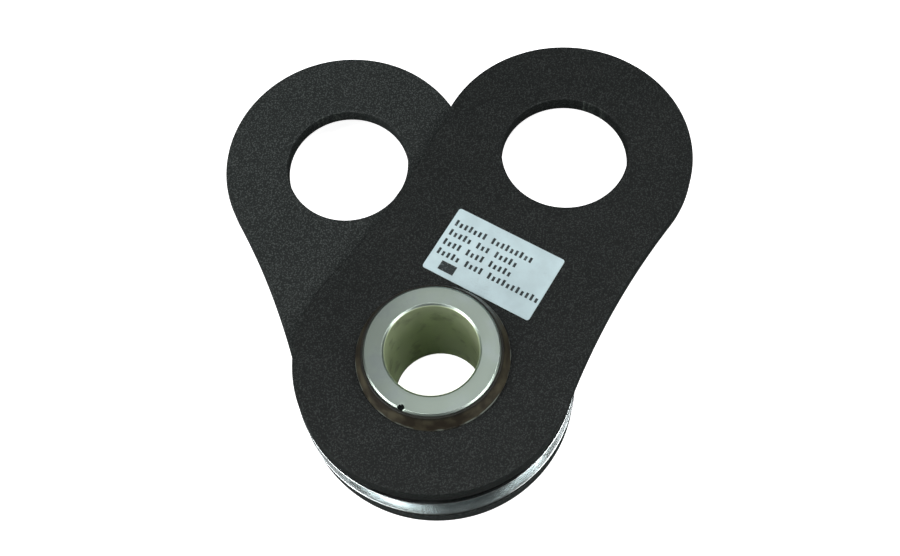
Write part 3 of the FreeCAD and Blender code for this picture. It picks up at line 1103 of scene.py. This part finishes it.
class MakeLabel(bpy.types.Operator):
    """Make the label and its plain print"""

    bl_idname = "sheave_block.label"
    bl_label = "Label"

    def execute(self, context):
        settings = context.scene.sheave_block
        place = label_place(settings.plate, settings.label)
        body = body_of_node("rating_label")
        film = label_mesh(settings.label)
        ink = print_mesh(settings.label)
        for bm in (film, ink):
            bmesh.ops.transform(bm, matrix=place, verts=bm.verts[:])
        film_material = label_film(settings.colours)
        ink_material = label_ink(settings.colours)
        finish_piece(film, "label_sheet", body, film_material, ["rating_label"])
        finish_piece(ink, "label_print", body, ink_material)
        return {"FINISHED"}


ROOM_COLOUR = (0.93, 0.97, 1.0, 1)
SENSOR_WIDTH_MM = 36
# name, place, power in watts, side of the square
SOFT_LIGHTS = (
    ("left_light", (-0.67, -0.46, 1.65), 12, 0.55),
    ("right_light", (0.83, 0.14, 1.65), 13.5, 0.55),
    ("left_edge_light", (-1.19, -0.74, 0.45), 14, 0.8),
    ("right_edge_light", (1.24, -0.64, 0.45), 9, 0.8),
    ("top_light", (-0.25, 0.95, 2.0), 3.5, 1.8),
)


def add_light(name, place, power, side, target):
    """Square area light that faces a point."""
    drop_old(name)
    data = bpy.data.lights.new(name, "AREA")
    data.energy = power
    data.size = side
    lamp = bpy.data.objects.new(name, data)
    lamp.location = place
    lamp.rotation_mode = "QUATERNION"
    lamp.rotation_quaternion = (target - Vector(place)).to_track_quat("-Z", "Y")
    bpy.context.scene.collection.objects.link(lamp)


def add_floor(stage, colours):
    """Square floor under the part."""
    drop_old("floor")
    bm = bmesh.new()
    bmesh.ops.create_grid(bm, x_segments=1, y_segments=1, size=stage.floor_size / 2)
    mesh = bpy.data.meshes.new("floor")
    bm.to_mesh(mesh)
    bm.free()
    mesh.materials.append(pale_floor(colours))
    floor = bpy.data.objects.new("floor", mesh)
    floor.location.z = cad_box[0].z
    bpy.context.scene.collection.objects.link(floor)


def light_room(scene):
    """Soft room, pale to the camera and dim in reflections."""
    world = bpy.data.worlds.get("soft_room") or bpy.data.worlds.new("soft_room")
    world.use_nodes = True
    room = Sheet(world.node_tree)
    backdrop = world.node_tree.nodes["Background"].inputs
    backdrop["Color"].default_value = ROOM_COLOUR
    seen = room.node("ShaderNodeLightPath").outputs["Is Camera Ray"]
    room.feed(backdrop["Strength"], room.fade(seen, ROOM_GLOW, FLOOR_GLOW))
    scene.world = world


def add_camera(scene, stage, target):
    """Camera that looks at a point."""
    heading = Vector((math.sin(stage.azimuth), math.cos(stage.azimuth), 0))
    forward = heading * math.cos(stage.elevation) - UP * math.sin(stage.elevation)
    across = forward.cross(UP).normalized()
    above = across.cross(forward)
    right = across * math.cos(stage.roll) + above * math.sin(stage.roll)
    up = right.cross(forward)
    drop_old("camera")
    data = bpy.data.cameras.new("camera")
    data.lens = stage.lens
    data.sensor_width = SENSOR_WIDTH_MM
    camera = bpy.data.objects.new("camera", data)
    look = Matrix((right, up, -forward)).transposed().to_4x4()
    camera.matrix_world = Matrix.Translation(target - forward * stage.distance) @ look
    scene.collection.objects.link(camera)
    scene.camera = camera


class MakeStage(bpy.types.Operator):
    """Make the floor, the light and the camera"""

    bl_idname = "sheave_block.stage"
    bl_label = "Stage"

    def execute(self, context):
        scene = context.scene
        settings = scene.sheave_block
        stage = settings.stage
        target = Vector((stage.target_x, stage.target_y, 0))
        add_floor(stage, settings.colours)
        light_room(scene)
        for name, place, power, side in SOFT_LIGHTS:
            add_light(name, place, power, side, target)
        add_camera(scene, stage, target)
        scene.view_settings.view_transform = "Standard"
        return {"FINISHED"}


OPERATORS = (MakePlates, MakeAxle, MakeCollars, MakeSheave, MakeBearings, MakeLabel, MakeStage)


class SheaveBlockPanel(bpy.types.Panel):
    """Buttons for every group of pieces"""

    bl_idname = "SHEAVEBLOCK_PT_panel"
    bl_label = "Sheave Block"
    bl_space_type = "VIEW_3D"
    bl_region_type = "UI"
    bl_category = "Sheave Block"

    def draw(self, context):
        for operator in OPERATORS:
            self.layout.operator(operator.bl_idname)


GROUPS = (PlateSizes, TurnedSizes, SheaveSizes, LabelSizes, Colours, StageSizes, BlockSettings)
CLASSES = GROUPS + OPERATORS + (SheaveBlockPanel,)


def register():
    """Add the settings, the operators and the panel."""
    for item in CLASSES:
        bpy.utils.register_class(item)
    bpy.types.Scene.sheave_block = PointerProperty(type=BlockSettings)


def unregister():
    """Take them away again."""
    del bpy.types.Scene.sheave_block
    for item in reversed(CLASSES):
        bpy.utils.unregister_class(item)


def main():
    """Make every piece and the stage."""
    register()
    bpy.ops.sheave_block.plates()
    bpy.ops.sheave_block.axle()
    bpy.ops.sheave_block.collars()
    bpy.ops.sheave_block.sheave()
    bpy.ops.sheave_block.bearings()
    bpy.ops.sheave_block.label()
    bpy.ops.sheave_block.stage()


if __name__ == "__main__":
    main()
